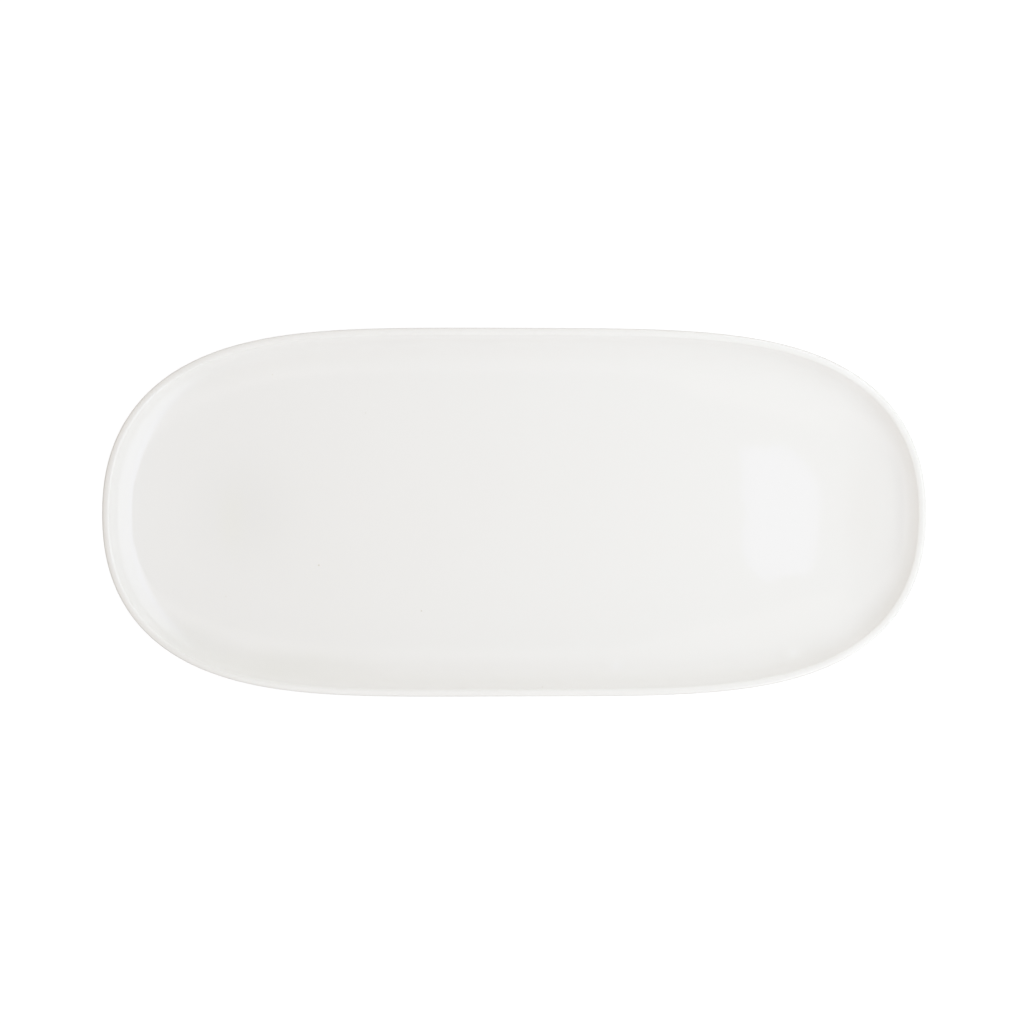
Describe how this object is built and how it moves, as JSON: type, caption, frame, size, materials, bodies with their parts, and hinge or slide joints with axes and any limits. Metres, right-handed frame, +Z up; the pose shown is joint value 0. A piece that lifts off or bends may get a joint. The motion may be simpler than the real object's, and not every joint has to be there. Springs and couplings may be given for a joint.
{
  "type": "asparagus plate",
  "caption": "Long oval white porcelain serving plate with a rolled lip, a shallow well and a low foot ring.",
  "frame": {"origin": "on the table under the middle of the plate, in the plane of the foot ring's toe", "axes": "+X along the plate's length, +Y across its width, +Z up out of the well"},
  "size_m": [0.38, 0.17, 0.0205],
  "materials": {
    "fired_body": "dense white fired porcelain under the glaze",
    "bare_foot": "bare fired porcelain, matt and fine grained, ground smooth on the toe",
    "clear_glaze": "high gloss clear glaze over white porcelain",
    "recess_glaze": "gloss clear glaze, a little less smooth than on the upper side"
  },
  "bodies": {
    "root": {"dish_body": "fired_body", "foot_ring": "bare_foot", "glaze_coat": "clear_glaze", "recess_glaze": "recess_glaze"}
  },
  "joints": []
}
